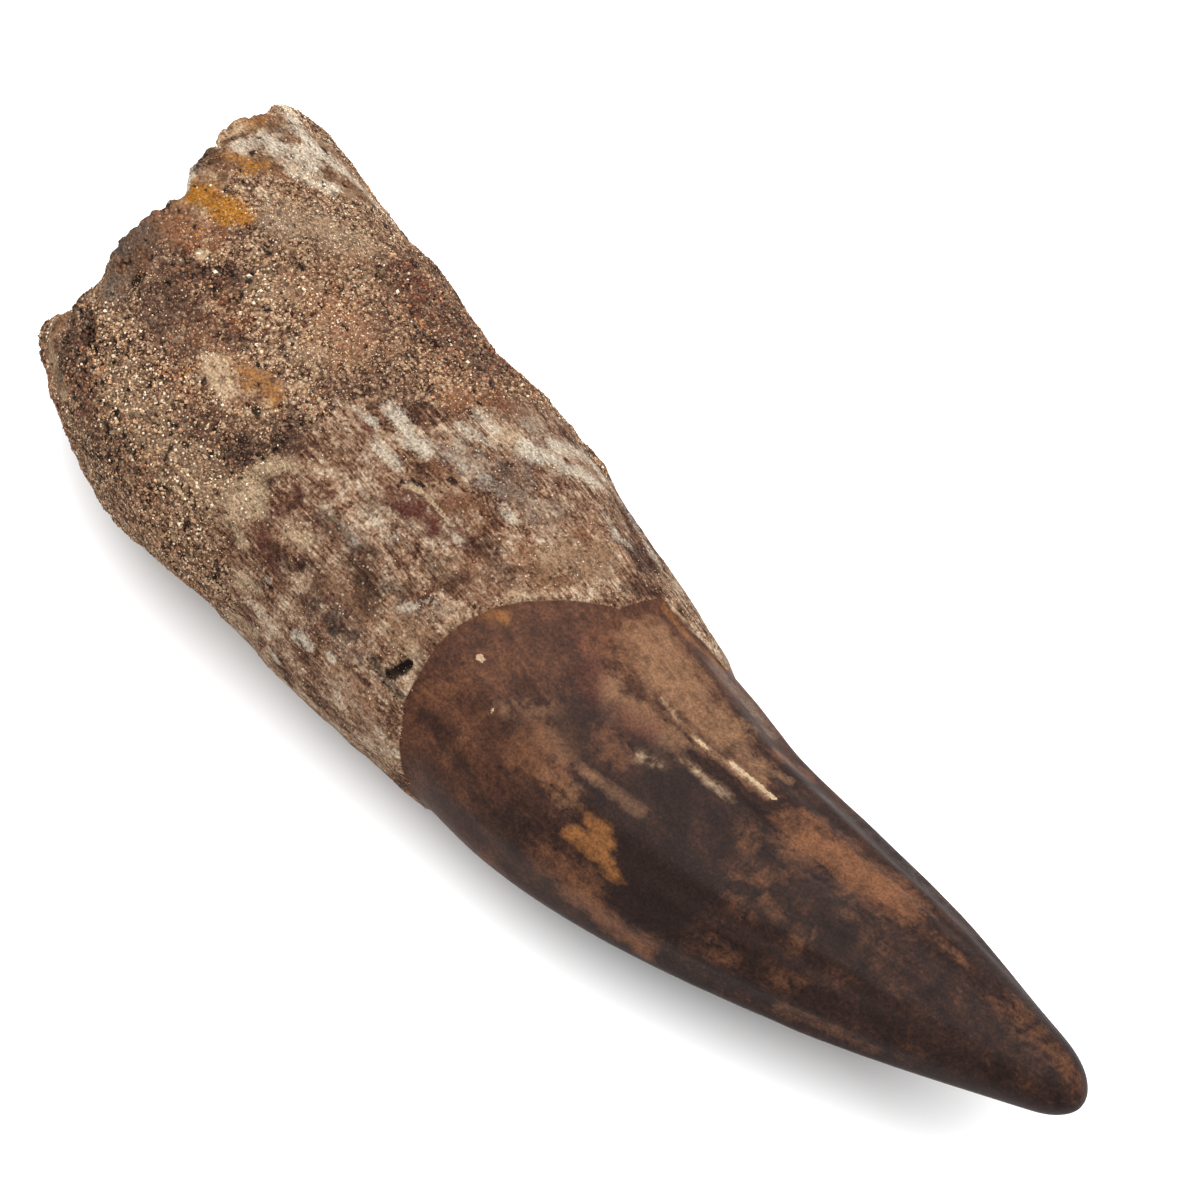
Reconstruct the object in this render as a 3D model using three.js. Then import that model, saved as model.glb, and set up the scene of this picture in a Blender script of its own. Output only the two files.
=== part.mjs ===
// A fossil spinosaurus tooth, lying loose on its side. Millimetres, +Z up.
// X runs from the broken end of the root to the tip of the crown, and the crown curves towards +Y.
// The origin is the middle of the box round the tooth, on the surface that it lies on.
// Angles go round the tooth: 0 is the +Y side, 90 the top, 180 the -Y side and 270 the underside.
import * as THREE from 'three';
import { mergeVertices } from 'three/addons/utils/BufferGeometryUtils.js';

// Driving dimensions: the middle line and the half sizes across it, one row every 10 mm along X.
const STATION_STEP = 10;
const STATIONS = [
  { y: 4.0, z: 11.0, halfWidth: 10.8, halfThickness: 10.8 },
  { y: 2.4, z: 11.0, halfWidth: 12.8, halfThickness: 11.0 },
  { y: -0.6, z: 10.9, halfWidth: 14.4, halfThickness: 11.0 },
  { y: -1.3, z: 10.7, halfWidth: 14.0, halfThickness: 10.8 },
  { y: -1.2, z: 10.1, halfWidth: 13.8, halfThickness: 10.3 },
  { y: -1.5, z: 9.5, halfWidth: 12.8, halfThickness: 9.6 },
  { y: -2.2, z: 9.3, halfWidth: 11.5, halfThickness: 8.6 },
  { y: -1.8, z: 9.6, halfWidth: 9.7, halfThickness: 7.3 },
  { y: 0.0, z: 10.0, halfWidth: 7.8, halfThickness: 6.0 },
  { y: 2.0, z: 10.5, halfWidth: 5.8, halfThickness: 4.6 },
  { y: 4.0, z: 10.9, halfWidth: 2.9, halfThickness: 2.6 },
];
const TIP_END = { x: 103.3, y: 4.5, z: 10.8 }; // the worn end, a little past the last station
const TIP_BEND = 0.5; // how far round its curve the end starts, in radians

// How finely the surface is divided.
const AROUND = 72;
const END_RINGS = 9;
const ROOT_RINGS = 27;
const CROWN_RINGS = 24;
const TIP_RINGS = 5;

// Where the root broke off: distance along X, by angle.
const BROKEN_EDGE = [
  [0, 4.0], [10, 5.0], [15, 5.2], [20, 4.8], [25, 4.4], [30, 3.9], [40, 4.2], [50, 5.4],
  [55, 5.8], [65, 5.8], [70, 6.2], [75, 6.8], [80, 7.6], [85, 8.0], [90, 8.4], [95, 10.1],
  [105, 11.0], [115, 11.3], [130, 11.8], [140, 12.8], [150, 13.8], [155, 13.4], [165, 12.0],
  [175, 10.4], [185, 8.8], [200, 7.5], [220, 6.5], [240, 4.8], [260, 5.6], [280, 4.2],
  [300, 4.6], [320, 3.4], [340, 4.4], [360, 4.0],
];
// Where the enamel of the crown starts: distance along X, by angle.
const ENAMEL_EDGE = [
  [0, 62.0], [15, 61.5], [25, 60.5], [35, 58.0], [45, 55.6], [65, 55.2], [75, 53.2], [90, 51.3],
  [100, 50.5], [115, 50.0], [130, 50.5], [145, 51.3], [160, 52.8], [180, 54.5], [200, 55.5],
  [230, 52.0], [260, 50.0], [290, 51.5], [320, 55.0], [340, 59.0], [360, 62.0],
];
// Where the crust of cemented sand ends on the root: distance along X, by angle.
const CRUST_EDGE = [
  [0, 46.0], [15, 40.0], [60, 37.0], [80, 33.5], [105, 31.3], [130, 30.8], [165, 35.0],
  [180, 35.5], [220, 30.0], [260, 33.0], [300, 38.0], [330, 44.0], [360, 46.0],
];

// Thin layers and relief.
const CRUST_THICKNESS = 0.45;
const CRUST_SLOPE = 1.8;
const ROOT_COAT = 0.3;
const LEDGE_LENGTH = 0.5;
const FLUTES = 18;
const FLUTE_DEPTH = 0.09;
const KEEL_HEIGHT = 0.45;
const KEEL_ANGLES = [16, 188];
const KEEL_SPREAD = 6;
const CROWN_FADE = 6; // flutes and keels rise over this length beyond the enamel's start
const TIP_FADE = { from: 84, to: 98 }; // and die out between these distances along X
const UNEVEN = { crown: 0.1, root: 0.15, crust: 0.3 }; // shares of the slow waves, added up

// The broken end: a leaning fracture, a hollow that sand almost fills, and a smooth bulge.
const CUT_MIDDLE = 8.0;
const CUT_LEAN = 0.28;
const CUT_ROUGHNESS = 0.8;
const EDGE_REACH = 4; // a high power keeps the jagged outline near the edge
const CAVITY_DEPTH = 3.2;
const CAVITY_RADIUS = 0.55;
const WALL_START = 0.82;
const END_BULGE = { angle: 182, share: 0.78, height: 1.3, spread: 0.24, turn: 30 };

// Lumps stand out and pits sink in, in mm, over a spread along X and a spread round in degrees.
const LUMPS = [
  { x: 11.5, angle: 176, height: 0.6, spread: 3.0, turn: 14 },
  { x: 9.0, angle: 78, height: 0.8, spread: 1.8, turn: 6 },
  { x: 12.5, angle: 134, height: -1.1, spread: 1.6, turn: 7 },
  { x: 16.0, angle: 112, height: 0.5, spread: 3.2, turn: 9 },
  { x: 14.0, angle: 62, height: -0.6, spread: 3.0, turn: 8 },
  { x: 22.0, angle: 84, height: 0.55, spread: 5.0, turn: 12 },
  { x: 26.0, angle: 40, height: 0.5, spread: 5.0, turn: 12 },
  { x: 27.0, angle: 128, height: -0.5, spread: 3.0, turn: 9 },
  { x: 36.0, angle: 104, height: -0.5, spread: 3.0, turn: 9 },
  { x: 41.0, angle: 84, height: 0.45, spread: 4.0, turn: 11 },
  { x: 43.0, angle: 140, height: 0.4, spread: 4.5, turn: 12 },
  { x: 50.0, angle: 30, height: -0.6, spread: 3.5, turn: 10 },
  { x: 30.0, angle: 205, height: -0.7, spread: 5.0, turn: 14 },
  { x: 18.0, angle: 225, height: 0.7, spread: 4.0, turn: 12 },
  { x: 20.0, angle: 330, height: 0.7, spread: 5.0, turn: 14 },
  { x: 34.0, angle: 345, height: -0.7, spread: 4.0, turn: 12 },
  { x: 72.0, angle: 118, height: 0.3, spread: 6.0, turn: 16 },
  { x: 66.0, angle: 60, height: -0.3, spread: 6.0, turn: 14 },
];

const TAU = 2 * Math.PI;
const MIDDLE_LINE = new THREE.CatmullRomCurve3(
  STATIONS.map((station, row) => new THREE.Vector3(row * STATION_STEP, station.y, station.z)),
  false,
  'catmullrom',
);
const HALF_SIZES = new THREE.CatmullRomCurve3(
  STATIONS.map((station) => new THREE.Vector3(station.halfWidth, station.halfThickness, 0)),
  false,
  'catmullrom',
);
const BODY_LENGTH = (STATIONS.length - 1) * STATION_STEP;

function degrees(angle) {
  return THREE.MathUtils.radToDeg(angle);
}

// The distance along X that an outline gives at an angle, in degrees from 0 to 360.
function edgeAt(outline, angle) {
  const next = Math.max(1, outline.findIndex(([turn]) => turn >= angle));
  const [turnA, xA] = outline[next - 1];
  const [turnB, xB] = outline[next];
  return THREE.MathUtils.mapLinear(angle, turnA, turnB, xA, xB);
}

// The shortest way round between two angles, in degrees.
function turnBetween(a, b) {
  return Math.abs(THREE.MathUtils.euclideanModulo(a - b + 180, 360) - 180);
}

function bell(distance, spread) {
  return Math.exp(-((distance / spread) ** 2));
}

// Slow waves that keep any stretch from being an even tube.
function unevenness(x, angle) {
  const turn = THREE.MathUtils.degToRad(angle);
  return (
    0.4 * Math.sin(0.31 * x + 2 * turn + 0.6) +
    0.3 * Math.sin(0.47 * x + 1.0) * Math.sin(4 * turn + 2.1) +
    0.3 * Math.sin(0.83 * x + 3 * turn + 4.0) * Math.sin(7 * turn - 0.4 * x) +
    0.25 * Math.sin(1.3 * x - 5 * turn + 1.2) * Math.sin(11 * turn + 0.7 * x)
  );
}

// Height of the crust, the coat of the root and the fine forms over the smooth tooth, in mm.
function relief(x, angle) {
  const enamelEdge = edgeAt(ENAMEL_EDGE, angle);
  const crustEdge = edgeAt(CRUST_EDGE, angle);
  const onRoot = 1 - THREE.MathUtils.smoothstep(x, enamelEdge - LEDGE_LENGTH, enamelEdge);
  const onCrust = 1 - THREE.MathUtils.smoothstep(x, crustEdge - CRUST_SLOPE, crustEdge);
  const beforeTip = 1 - THREE.MathUtils.smoothstep(x, TIP_FADE.from, TIP_FADE.to);
  const uneven = UNEVEN.crown + UNEVEN.root * onRoot + UNEVEN.crust * onCrust;
  const ribbed = THREE.MathUtils.smoothstep(x, enamelEdge, enamelEdge + CROWN_FADE) * beforeTip;
  let height = ROOT_COAT * onRoot + CRUST_THICKNESS * onCrust;
  height += unevenness(x, angle) * uneven * beforeTip;
  height += FLUTE_DEPTH * Math.cos(THREE.MathUtils.degToRad(FLUTES * angle)) * ribbed;
  for (const keel of KEEL_ANGLES) {
    height += KEEL_HEIGHT * bell(turnBetween(angle, keel), KEEL_SPREAD) * ribbed;
  }
  for (const lump of LUMPS) {
    const along = bell(x - lump.x, lump.spread);
    height += lump.height * along * bell(turnBetween(angle, lump.angle), lump.turn);
  }
  return height;
}

// A point on the side of the tooth: at a distance along X, and at an angle round it.
function sidePoint(x, angle) {
  const along = x / BODY_LENGTH;
  const middle = MIDDLE_LINE.getPoint(along);
  const ahead = MIDDLE_LINE.getTangent(along);
  const across = new THREE.Vector3(-ahead.y, ahead.x, 0).normalize();
  const upward = new THREE.Vector3().crossVectors(ahead, across);
  const half = HALF_SIZES.getPoint(along);
  const lift = relief(x, degrees(angle));
  return middle
    .addScaledVector(across, (half.x + lift) * Math.cos(angle))
    .addScaledVector(upward, (half.y + lift) * Math.sin(angle));
}

// Height of the rough fracture across the broken end, in mm.
function fracture(y, z) {
  return (
    0.5 * Math.sin(0.45 * y + 0.3 * z) +
    0.3 * Math.sin(0.8 * z - 0.5 * y + 1.7) +
    0.2 * Math.sin(1.2 * y + 1.0 * z + 0.5)
  );
}

// A point on the broken end, from its middle at 0 to its edge at 1. Sand fills most of the hollow.
function endPoint(share, angle) {
  const edge = sidePoint(edgeAt(BROKEN_EDGE, degrees(angle)), angle);
  const middle = MIDDLE_LINE.getPoint(CUT_MIDDLE / BODY_LENGTH);
  const point = middle.clone().lerp(edge, share);
  const cut = CUT_MIDDLE + CUT_LEAN * (point.z - middle.z);
  const edgeCut = CUT_MIDDLE + CUT_LEAN * (edge.z - middle.z);
  const inHollow = 1 - THREE.MathUtils.smoothstep(share, CAVITY_RADIUS, WALL_START);
  const nearEdge = share ** EDGE_REACH;
  const rough = fracture(point.y, point.z) * (1 - nearEdge);
  const bulge = share * bell(turnBetween(degrees(angle), END_BULGE.angle), END_BULGE.turn);
  point.x = cut + (edge.x - edgeCut) * nearEdge;
  point.x += CAVITY_DEPTH * inHollow + CUT_ROUGHNESS * rough;
  point.x -= END_BULGE.height * bulge * bell(share - END_BULGE.share, END_BULGE.spread);
  return point;
}

// A point on the worn end of the crown, from the last station at 0 to the very end at 1.
function tipPoint(share, angle) {
  const rim = sidePoint(BODY_LENGTH, angle);
  const middle = MIDDLE_LINE.getPoint(1);
  const reach = new THREE.Vector3(TIP_END.x, TIP_END.y, TIP_END.z).sub(middle);
  const bend = THREE.MathUtils.lerp(TIP_BEND, Math.PI / 2, share);
  const out = Math.cos(bend) / Math.cos(TIP_BEND);
  const on = (Math.sin(bend) - Math.sin(TIP_BEND)) / (1 - Math.sin(TIP_BEND));
  return middle.lerp(rim, out).addScaledVector(reach, on);
}

// The rings run from the middle of the broken end, over its edge and along the root, to the tip.
function ringPoint(ring, angle) {
  const turn = degrees(angle);
  const rootEnd = END_RINGS + ROOT_RINGS;
  const crownEnd = rootEnd + CROWN_RINGS;
  if (ring < END_RINGS) {
    return endPoint(ring / END_RINGS, angle);
  }
  const brokenEdge = edgeAt(BROKEN_EDGE, turn);
  const enamelEdge = edgeAt(ENAMEL_EDGE, turn);
  if (ring < rootEnd) {
    const share = (ring - END_RINGS) / (ROOT_RINGS - 1);
    return sidePoint(brokenEdge + share * (enamelEdge - LEDGE_LENGTH - brokenEdge), angle);
  }
  if (ring <= crownEnd) {
    const share = (ring - rootEnd) / CROWN_RINGS;
    return sidePoint(enamelEdge + share * (BODY_LENGTH - enamelEdge), angle);
  }
  return tipPoint((ring - crownEnd) / TIP_RINGS, angle);
}

// Puts the origin at the middle of the box, at the height of the surface that the tooth lies on.
function centreOnBox(geometry) {
  geometry.computeBoundingBox();
  const middle = geometry.boundingBox.getCenter(new THREE.Vector3());
  geometry.translate(-middle.x, -middle.y, 0);
}

function toothGeometry() {
  const rings = END_RINGS + ROOT_RINGS + CROWN_RINGS + TIP_RINGS;
  const sphere = new THREE.SphereGeometry(1, AROUND, rings);
  const position = sphere.getAttribute('position');
  for (let ring = 0; ring <= rings; ring++) {
    for (let column = 0; column <= AROUND; column++) {
      const angle = (TAU * ((AROUND - column) % AROUND)) / AROUND;
      const point = ringPoint(ring, angle);
      point.z = Math.max(point.z, 0);
      position.setXYZ(ring * (AROUND + 1) + column, point.x, point.y, point.z);
    }
  }
  sphere.deleteAttribute('normal');
  sphere.deleteAttribute('uv');
  const geometry = mergeVertices(sphere);
  centreOnBox(geometry);
  geometry.computeVertexNormals();
  return geometry;
}

function fossilMaterial() {
  return new THREE.MeshStandardMaterial({ color: 0x6b4f3a, roughness: 0.7, metalness: 0 });
}

const tooth = new THREE.Mesh(toothGeometry(), fossilMaterial());
tooth.name = 'spinosaurus_tooth';

const group = new THREE.Group();
group.add(tooth);

export default group;
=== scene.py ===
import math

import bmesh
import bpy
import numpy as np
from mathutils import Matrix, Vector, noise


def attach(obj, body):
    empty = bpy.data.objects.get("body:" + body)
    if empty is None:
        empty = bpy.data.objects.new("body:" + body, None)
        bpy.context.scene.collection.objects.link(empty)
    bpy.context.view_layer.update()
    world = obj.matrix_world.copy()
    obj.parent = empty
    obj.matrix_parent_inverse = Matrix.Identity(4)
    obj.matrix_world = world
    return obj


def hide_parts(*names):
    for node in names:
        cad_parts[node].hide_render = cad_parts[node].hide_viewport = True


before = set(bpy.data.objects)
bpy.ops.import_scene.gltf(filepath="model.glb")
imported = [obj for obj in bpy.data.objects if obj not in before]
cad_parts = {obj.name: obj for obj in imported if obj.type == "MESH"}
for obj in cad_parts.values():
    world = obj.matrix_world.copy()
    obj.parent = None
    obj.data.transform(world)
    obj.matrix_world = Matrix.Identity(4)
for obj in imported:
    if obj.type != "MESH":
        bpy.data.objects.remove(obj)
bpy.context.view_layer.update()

# %% [markdown]
# # A fossil spinosaurus tooth
# The real object is one loose fossil, about 99 mm long. The lower half is the root, with sand
# cemented over it where it broke off, then bare bone with long fibres. The upper half is the
# crown, under smooth brown enamel. It lies on its side.
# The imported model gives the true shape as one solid. This lesson dresses that shape: it makes a
# finer skin from it, adds the small relief, paints the stains, and sticks on loose sand grains.
# Places on the tooth are given the way a collector would give them: millimetres along it from
# the broken end, and degrees round it, with 90 on top and 0 on the side the tip bends to.

MM = 0.001

# %% [markdown]
# ## The camera
# The photograph looks steeply down at the tooth from beyond its crown, so the root end is far
# away at the upper left. A long lens keeps the two ends nearly the same scale. The view is built
# from an azimuth and an elevation, so that both can be read and changed as plain angles.

# %% Camera
AZIMUTH = math.radians(49)
ELEVATION = math.radians(60)
DISTANCE = 420 * MM
LOOK_AT = Vector((-3.81, 7.04, 8.0)) * MM
LENS = 172.6
SENSOR_WIDTH = 36
NEAREST_SEEN = 10 * MM

gaze = Vector((-math.sin(AZIMUTH) * math.cos(ELEVATION),
               math.cos(AZIMUTH) * math.cos(ELEVATION),
               -math.sin(ELEVATION)))
lens = bpy.data.cameras.new("studio_camera")
lens.lens = LENS
lens.sensor_width = SENSOR_WIDTH
lens.clip_start = NEAREST_SEEN
camera = bpy.data.objects.new("studio_camera", lens)
camera.location = LOOK_AT - gaze * DISTANCE
camera.rotation_euler = gaze.to_track_quat("-Z", "Y").to_euler()
bpy.context.scene.collection.objects.link(camera)
bpy.context.scene.camera = camera
print("camera at", [round(v / MM) for v in camera.location], "mm")

# %% [markdown]
# ## Floor and light
# The tooth was photographed on white paper under soft light from above, so the paper burns out
# to white and only a soft grey shadow is left, close under the tooth. A small lamp would draw a
# hard shadow, and a bright sky would wash it out. So one very broad lamp hangs overhead, and a
# faint white tent adds a little light from the sides. The plain Standard view keeps the paper
# as white as the light makes it.

# %% Colours by their screen values
LIGHT_GAIN = 2.0


def screen(code):
    """A colour code such as 'a3805f' as three screen values from 0 to 1."""
    return np.array([int(code[i:i + 2], 16) / 255 for i in (0, 2, 4)])


def paint(code):
    """A colour as the photograph shows it, as the paint that gives it under this light."""
    light = [p / 12.92 if p <= 0.04045 else ((p + 0.055) / 1.055) ** 2.4 for p in screen(code)]
    return [value / LIGHT_GAIN for value in light] + [1.0]


def wire(tree, kind, inputs=None, **settings):
    """Adds a node, sets it up, and plugs in or fills in its sockets."""
    made = tree.nodes.new(kind)
    for name, value in settings.items():
        setattr(made, name, value)
    for name, value in (inputs or {}).items():
        if isinstance(value, bpy.types.NodeSocket):
            tree.links.new(value, made.inputs[name])
        else:
            made.inputs[name].default_value = value
    return made


def new_material(name, colour, roughness):
    """A material with one Principled shader, plain until nodes are wired to it."""
    made = bpy.data.materials.new(name)
    made.use_nodes = True
    shader = made.node_tree.nodes["Principled BSDF"]
    shader.inputs["Base Color"].default_value = colour
    shader.inputs["Roughness"].default_value = roughness
    return made, made.node_tree, shader

# %% Paper floor
FLOOR_SIZE = 3.0
FLOOR_DROP = 0.02 * MM
PAPER = (0.86, 0.86, 0.86, 1)
PAPER_ROUGHNESS = 0.95

floor_bm = bmesh.new()
bmesh.ops.create_grid(floor_bm, x_segments=1, y_segments=1, size=FLOOR_SIZE / 2)
bmesh.ops.translate(floor_bm, verts=floor_bm.verts, vec=(0, 0, -FLOOR_DROP))
floor_mesh = bpy.data.meshes.new("paper_floor")
floor_bm.to_mesh(floor_mesh)
floor_bm.free()
floor = bpy.data.objects.new("paper_floor", floor_mesh)
bpy.context.scene.collection.objects.link(floor)
floor_mesh.materials.append(new_material("white_paper", PAPER, PAPER_ROUGHNESS)[0])
print("paper floor", FLOOR_SIZE, "m wide")

# %% Lamp and sky
LAMP_FROM = Vector((0.0, 0.1, 0.98))
LAMP_SIZE = 1.8
LAMP_POWER = 38.0
TENT_WALL = 0.5
TENT_TOP = 0.2
WALL_EDGE = (0.45, 0.75)
FRONT_SHARE, BACK_SHARE = 0.85, 1.15

lamp = bpy.data.lights.new("broad_lamp", "AREA")
lamp.shape = "DISK"
lamp.size = LAMP_SIZE
lamp.energy = LAMP_POWER
lamp_object = bpy.data.objects.new("broad_lamp", lamp)
lamp_object.location = LAMP_FROM
lamp_object.rotation_euler = LAMP_FROM.to_track_quat("Z", "Y").to_euler()
bpy.context.scene.collection.objects.link(lamp_object)

sky = bpy.data.worlds.new("light_tent")
sky.use_nodes = True
sky_tree = sky.node_tree
aim = wire(sky_tree, "ShaderNodeTexCoord").outputs["Generated"]
aim_parts = wire(sky_tree, "ShaderNodeSeparateXYZ", {"Vector": aim})
wall = wire(sky_tree, "ShaderNodeMapRange", {
    "Value": aim_parts.outputs["Z"], "From Min": WALL_EDGE[0], "From Max": WALL_EDGE[1],
    "To Min": TENT_WALL, "To Max": TENT_TOP})
side = wire(sky_tree, "ShaderNodeMapRange", {
    "Value": aim_parts.outputs["Y"], "From Min": -1.0, "From Max": 1.0,
    "To Min": FRONT_SHARE, "To Max": BACK_SHARE})
tent_light = wire(sky_tree, "ShaderNodeMath", {0: wall.outputs["Result"],
                  1: side.outputs["Result"]}, operation="MULTIPLY")
sky_background = sky_tree.nodes["Background"]
sky_background.inputs["Color"].default_value = (1, 1, 1, 1)
sky_tree.links.new(tent_light.outputs[0], sky_background.inputs["Strength"])
bpy.context.scene.world = sky
bpy.context.scene.view_settings.view_transform = "Standard"
print("lamp is", round(LAMP_FROM.length, 2), "m away")

# %% [markdown]
# ## A ruler on the tooth
# Stains and cracks are easiest to place with a ruler that bends with the tooth. The middle line
# and the half sizes of the solid, one row each 10 mm, are joined by a smooth Catmull-Rom curve.
# Every point of the skin then gets how far along it is, its angle round, and its place across.

# %% Middle line and half sizes, one row every 10 mm: y, z, half width, half thickness
STATIONS = np.array([
    (4.0, 11.0, 10.8, 10.8), (2.4, 11.0, 12.8, 11.0), (-0.6, 10.9, 14.4, 11.0),
    (-1.3, 10.7, 14.0, 10.8), (-1.2, 10.1, 13.8, 10.3), (-1.5, 9.5, 12.8, 9.6),
    (-2.2, 9.3, 11.5, 8.6), (-1.8, 9.6, 9.7, 7.3), (0.0, 10.0, 7.8, 6.0),
    (2.0, 10.5, 5.8, 4.6), (4.0, 10.9, 2.9, 2.6)])
STATION_STEP = 10.0
RULER_START = np.array((-53.618, 0.344, 0.0))
RULER_STEP = 0.25
MEASURED_PARTS = 40
TINY = 1e-9


def ruler_rows(along):
    """The four station values at distances along the tooth, on a Catmull-Rom curve."""
    ends = np.vstack([2 * STATIONS[0] - STATIONS[1], STATIONS, 2 * STATIONS[-1] - STATIONS[-2]])
    place = np.clip(along / STATION_STEP, 0, len(STATIONS) - 1 - TINY)
    row = place.astype(int)
    f = (place - row)[:, None]
    a, b, c, d = ends[row], ends[row + 1], ends[row + 2], ends[row + 3]
    return 0.5 * (2 * b + (c - a) * f + (2 * a - 5 * b + 4 * c - d) * f ** 2
                  + (3 * b - a - 3 * c + d) * f ** 3)


ruler_along = np.arange(0, STATION_STEP * (len(STATIONS) - 1) + RULER_STEP / 2, RULER_STEP)
ruler_values = ruler_rows(ruler_along)
ruler_line = np.column_stack([ruler_along, ruler_values[:, 0], ruler_values[:, 1]]) + RULER_START
ruler_ahead = np.gradient(ruler_line, axis=0)
ruler_ahead /= np.linalg.norm(ruler_ahead, axis=1)[:, None]
ruler_across = np.column_stack([-ruler_ahead[:, 1], ruler_ahead[:, 0], 0 * ruler_along])
ruler_across /= np.linalg.norm(ruler_across, axis=1)[:, None]
ruler_up = np.cross(ruler_ahead, ruler_across)
print("ruler:", len(ruler_line), "marks,", ruler_along[-1], "mm long")


def measure(points):
    """For points in mm: distance along, angle round, and the two places across the tooth."""
    nearest = np.concatenate([
        ((part[:, None] - ruler_line[None]) ** 2).sum(2).argmin(1)
        for part in np.array_split(points, MEASURED_PARTS)])
    away = points - ruler_line[nearest]
    along = ruler_along[nearest] + (away * ruler_ahead[nearest]).sum(1)
    across = (away * ruler_across[nearest]).sum(1)
    above = (away * ruler_up[nearest]).sum(1)
    half = ruler_values[nearest]
    around = np.degrees(np.arctan2(above / half[:, 3], across / half[:, 2])) % 360
    return along, around, across, above, (half[:, 2] + half[:, 3]) / 2


def smooth_step(low, high, value):
    """0 below low, 1 above high, and a soft S between; low may be the greater."""
    t = np.clip((value - low) / (high - low), 0, 1)
    return t * t * (3 - 2 * t)


def turned(a, b):
    """The signed turn from angle b to angle a, from -180 to 180 degrees."""
    return (a - b + 180) % 360 - 180

# %% [markdown]
# ## The skin
# The solid has facets of one to two millimetres. The skin starts as a merged copy of it, whose
# triangles are joined back into four-sided faces, because Subdivision Surface rounds those
# evenly. Two levels give faces of about a third of a millimetre, fine enough for pits and a crack.

# %% Skin from the solid
SKIN_LEVELS = 2
JOIN_ANGLE = math.radians(40)
MERGE_DISTANCE = 0.001 * MM

skin_bm = bmesh.new()
skin_bm.from_mesh(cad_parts["spinosaurus_tooth"].data)
bmesh.ops.remove_doubles(skin_bm, verts=skin_bm.verts, dist=MERGE_DISTANCE)
bmesh.ops.join_triangles(skin_bm, faces=skin_bm.faces, angle_face_threshold=JOIN_ANGLE,
                         angle_shape_threshold=math.pi)
rough_mesh = bpy.data.meshes.new("skin_cage")
skin_bm.to_mesh(rough_mesh)
print("cage:", len(skin_bm.verts), "points,",
      sum(len(f.verts) == 4 for f in skin_bm.faces), "quads of", len(skin_bm.faces))
skin_bm.free()

cage = bpy.data.objects.new("skin_cage", rough_mesh)
bpy.context.scene.collection.objects.link(cage)
finer = cage.modifiers.new("finer", "SUBSURF")
finer.levels = finer.render_levels = SKIN_LEVELS
skin_mesh = bpy.data.meshes.new_from_object(
    cage.evaluated_get(bpy.context.evaluated_depsgraph_get()))
skin_mesh.name = "tooth_skin"
bpy.data.objects.remove(cage)
tooth = bpy.data.objects.new("tooth_skin", skin_mesh)
bpy.context.scene.collection.objects.link(tooth)
print("skin:", len(skin_mesh.vertices), "points,",
      sum(len(p.vertices) - 2 for p in skin_mesh.polygons), "triangles")

# %% Measure every point of the skin
def read(collection, field):
    values = np.empty(len(collection) * 3, np.float32)
    collection.foreach_get(field, values)
    return values.reshape(-1, 3).astype(float)


skin_points = read(skin_mesh.vertices, "co") / MM
skin_normals = read(skin_mesh.vertex_normals, "vector")
along, around, across, above, radius = measure(skin_points)
end_facing = -skin_normals[:, 0]
print("along the tooth from", round(along.min(), 1), "to", round(along.max(), 1), "mm")

# %% [markdown]
# ## Where each surface begins
# Three surfaces meet on the tooth: cemented sand, bare root bone and enamel. Their borders are
# read off as distances along the tooth at a few angles. Each border is kept as a signed distance
# in mm, not as a mask, because a distance stays smooth between points of the skin, and the
# shader can then cut it as sharply as the real margin.

# %% Borders by angle: distance along the tooth
ENAMEL_MARGIN = [
    (0, 62.5), (25, 62.2), (33, 58.6), (39, 55.6), (44, 54.9), (64, 54.8), (77, 52.7), (91, 50.8),
    (100, 49.9), (111, 49.3), (121, 49.4), (133, 50.1), (144, 50.6), (151, 51.5), (177, 53.8),
    (200, 55.5), (230, 52.0), (260, 50.0), (290, 51.5), (320, 55.0), (340, 59.0), (360, 62.5)]
SAND_BORDER = [
    (0, 46.0), (12, 42.5), (22, 38.9), (60, 36.9), (79, 33.4), (93, 31.1), (104, 31.0),
    (121, 31.1), (133, 30.4), (150, 31.8), (168, 34.0), (182, 34.1), (220, 30.0), (260, 33.0),
    (300, 38.0), (330, 44.0), (360, 46.0)]


def border(rows):
    """A border's distance along the tooth, at the angle of every point of the skin."""
    angles, distances = zip(*rows)
    return np.interp(around, angles, distances)


for name, rows in (("enamel", ENAMEL_MARGIN), ("sand", SAND_BORDER)):
    reached = border(rows)
    print(f"{name} border from {reached.min():.1f} to {reached.max():.1f} mm along")

# %% Noise at the points of the skin
SEED_STEP = (17.3, 5.1, 9.7)
OCTAVE_FALL, OCTAVE_STEP = 1.0, 2.0


def waves(points, size, octaves, seed):
    """Fractal noise from about -1 to 1 at points in mm, with lumps of about a given size."""
    shift = Vector([seed * step for step in SEED_STEP])
    return np.array([noise.fractal(Vector(p) / size + shift, OCTAVE_FALL, OCTAVE_STEP, octaves)
                     for p in points])

# %% How much of each surface every point has
END_LENGTH = 20
END_TURN = (0.25, 0.6)
CORE_EDGE = (0.88, 0.62)
SAND_WANDER = 1.3
ENAMEL_EDGE = (-0.2, 0.2)
SAND_EDGE = (-0.7, 0.7)

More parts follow.
